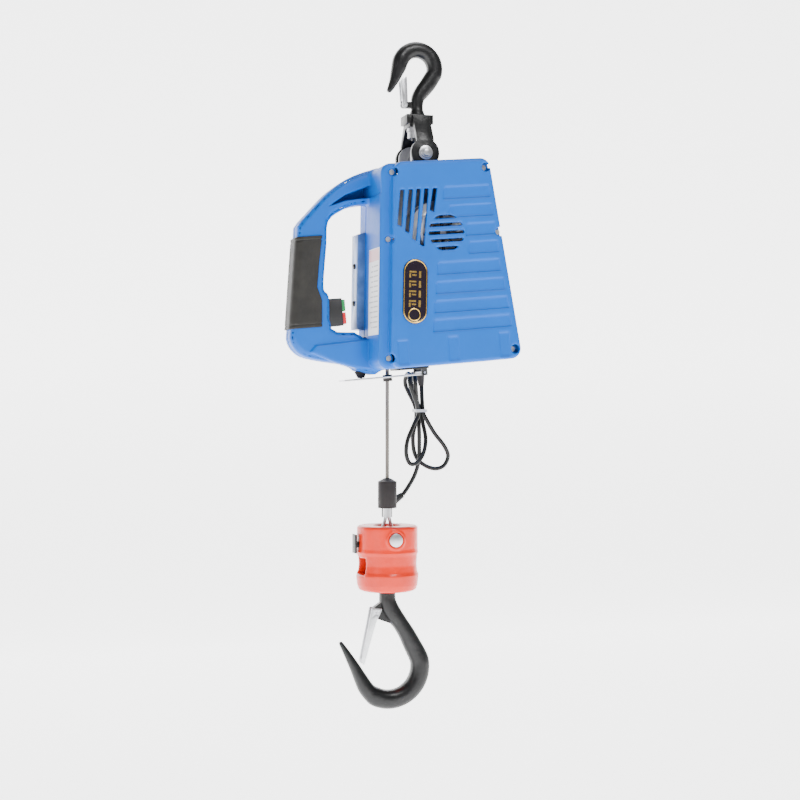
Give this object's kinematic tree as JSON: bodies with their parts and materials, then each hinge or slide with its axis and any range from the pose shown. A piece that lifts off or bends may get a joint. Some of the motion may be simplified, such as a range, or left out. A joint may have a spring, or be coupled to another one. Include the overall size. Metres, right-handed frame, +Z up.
{
  "type": "electric wire rope hoist",
  "caption": "Portable electric wire rope hoist: moulded casing with hand grip and push buttons, swivel top hook, rope drum and gears inside, hook block with latch and power cord.",
  "frame": {"origin": "centre of the top hook's bowl, which hangs on the support", "axes": "+Z up along the hanging line, +Y to the rear along the suspension bolt, +X to the side away from the hand grip"},
  "size_m": [0.3107, 0.1607, 0.9237],
  "materials": {
    "forged_black": "black enamel over forged steel",
    "plated_steel": "zinc plated",
    "machined_steel": "machined",
    "case_blue": "fine-textured moulded nylon",
    "cover_blue": "powder coated pressing",
    "grip_rubber": "ribbed moulded rubber",
    "black_plastic": "moulded",
    "green_plastic": "moulded",
    "red_plastic": "moulded",
    "label_white": "printed film",
    "badge": "domed badge with gold rim",
    "drum_alloy": "cast and turned",
    "wire_rope": "stranded, lightly greased",
    "motor_core": "varnished laminations",
    "board_green": "circuit board",
    "black_rubber": "moulded",
    "cord_pvc": "smooth jacket",
    "tie_grey": "wire tie",
    "block_orange": "gloss enamel over casting"
  },
  "bodies": {
    "top_hook": {"top_hook": "forged_black", "top_latch_pin": "plated_steel", "hook_nut": "machined_steel"},
    "top_latch": {"top_latch": "plated_steel"},
    "yoke": {"yoke": "forged_black", "swivel_bearing": "machined_steel", "suspension_bolt": "plated_steel", "bolt_washers": "plated_steel", "bolt_nut": "plated_steel"},
    "casing": {"front_shell": "case_blue", "rear_shell": "case_blue", "hand_grip": "grip_rubber", "switch_box": "black_plastic", "side_cover": "cover_blue", "side_cover_screws": "black_plastic", "rating_plate": "label_white", "front_badge": "badge", "case_screws": "plated_steel", "front_frame_plate": "machined_steel", "rear_frame_plate": "machined_steel", "gear_plate": "machined_steel", "frame_spacers": "plated_steel", "shaft_bearings": "machined_steel", "motor_case": "drum_alloy", "motor_stator": "motor_core", "capacitor": "black_plastic", "control_board": "board_green", "limit_bracket": "forged_black", "limit_pin": "plated_steel", "limit_boot": "black_rubber", "limit_switch": "black_plastic", "cord_gland": "black_rubber", "power_cord": "cord_pvc", "cord_tie": "tie_grey", "mains_plug": "cord_pvc"},
    "up_button": {"up_button": "green_plastic"},
    "down_button": {"down_button": "red_plastic"},
    "limit_plate": {"limit_plate": "plated_steel", "plate_bush": "black_rubber", "limit_rod": "plated_steel"},
    "drum": {"drum": "drum_alloy", "rope_winding": "wire_rope", "drum_shaft": "machined_steel", "drum_gear": "machined_steel"},
    "layshaft": {"layshaft": "machined_steel", "layshaft_gear": "machined_steel"},
    "rotor": {"motor_rotor": "motor_core", "motor_shaft": "machined_steel", "motor_pinion": "machined_steel", "cooling_fan": "black_plastic"},
    "load_block": {"rope_fall": "wire_rope", "rope_stopper": "black_rubber", "rope_end_fitting": "plated_steel", "block_casting": "block_orange", "block_pin": "plated_steel", "block_clip": "forged_black"},
    "load_hook": {"load_hook": "forged_black", "load_hook_nut": "machined_steel", "load_latch_pin": "plated_steel"},
    "load_latch": {"load_latch": "plated_steel"}
  },
  "joints": [
    {"name": "top_latch_swing", "type": "hinge", "parent": "top_hook", "child": "top_latch", "pos_m": [-0.019, 0, -0.052], "axis": [0, 1, 0], "range_deg": [0, 25], "stiffness_Nm_per_rad": 0.05, "springref_deg": -11.46},
    {"name": "yoke_swivel", "type": "hinge", "parent": "top_hook", "child": "yoke", "pos_m": [0, 0, -0.086], "axis": [0, 0, 1], "continuous": true},
    {"name": "casing_swing", "type": "hinge", "parent": "yoke", "child": "casing", "pos_m": [0, 0, -0.123], "axis": [0, 1, 0], "range_deg": [-20, 20]},
    {"name": "up_button_press", "type": "slide", "parent": "casing", "child": "up_button", "axis": [-0.9962, 0, -0.0872], "range_m": [0, 0.003], "stiffness_N_per_m": 500},
    {"name": "down_button_press", "type": "slide", "parent": "casing", "child": "down_button", "axis": [-0.9962, 0, -0.0872], "range_m": [0, 0.003], "stiffness_N_per_m": 500},
    {"name": "limit_plate_lift", "type": "hinge", "parent": "casing", "child": "limit_plate", "pos_m": [0.00514, 0, -0.42269], "axis": [0, 1, 0], "range_deg": [0, 4], "stiffness_Nm_per_rad": 0.6, "springref_deg": -20.05, "deforming": ["limit_boot"]},
    {"name": "load_lift", "type": "slide", "parent": "casing", "child": "load_block", "axis": [0, 0, 1], "range_m": [-2.8, 0.13], "deforming": ["rope_fall"]},
    {"name": "drum_turn", "type": "hinge", "parent": "casing", "child": "drum", "pos_m": [-0.00617, 0, -0.338], "axis": [0, 1, 0], "continuous": true},
    {"name": "layshaft_turn", "type": "hinge", "parent": "casing", "child": "layshaft", "pos_m": [0.03, 0, -0.28642], "axis": [0, 1, 0], "continuous": true},
    {"name": "motor_turn", "type": "hinge", "parent": "casing", "child": "rotor", "pos_m": [0.01492, 0, -0.23613], "axis": [0, 1, 0], "continuous": true},
    {"name": "hook_swivel", "type": "hinge", "parent": "load_block", "child": "load_hook", "pos_m": [-0.043, 0, -0.7], "axis": [0, 0, 1], "continuous": true},
    {"name": "load_latch_swing", "type": "hinge", "parent": "load_hook", "child": "load_latch", "pos_m": [-0.059, 0, -0.754], "axis": [0, 1, 0], "range_deg": [-40, 0], "stiffness_Nm_per_rad": 0.08, "springref_deg": 11.46}
  ],
  "couplings": [
    {"joint": "drum_turn", "follows": "load_lift", "rad_per_m": 28.818},
    {"joint": "layshaft_turn", "follows": "load_lift", "rad_per_m": -122.48},
    {"joint": "motor_turn", "follows": "load_lift", "rad_per_m": 489.91}
  ]
}
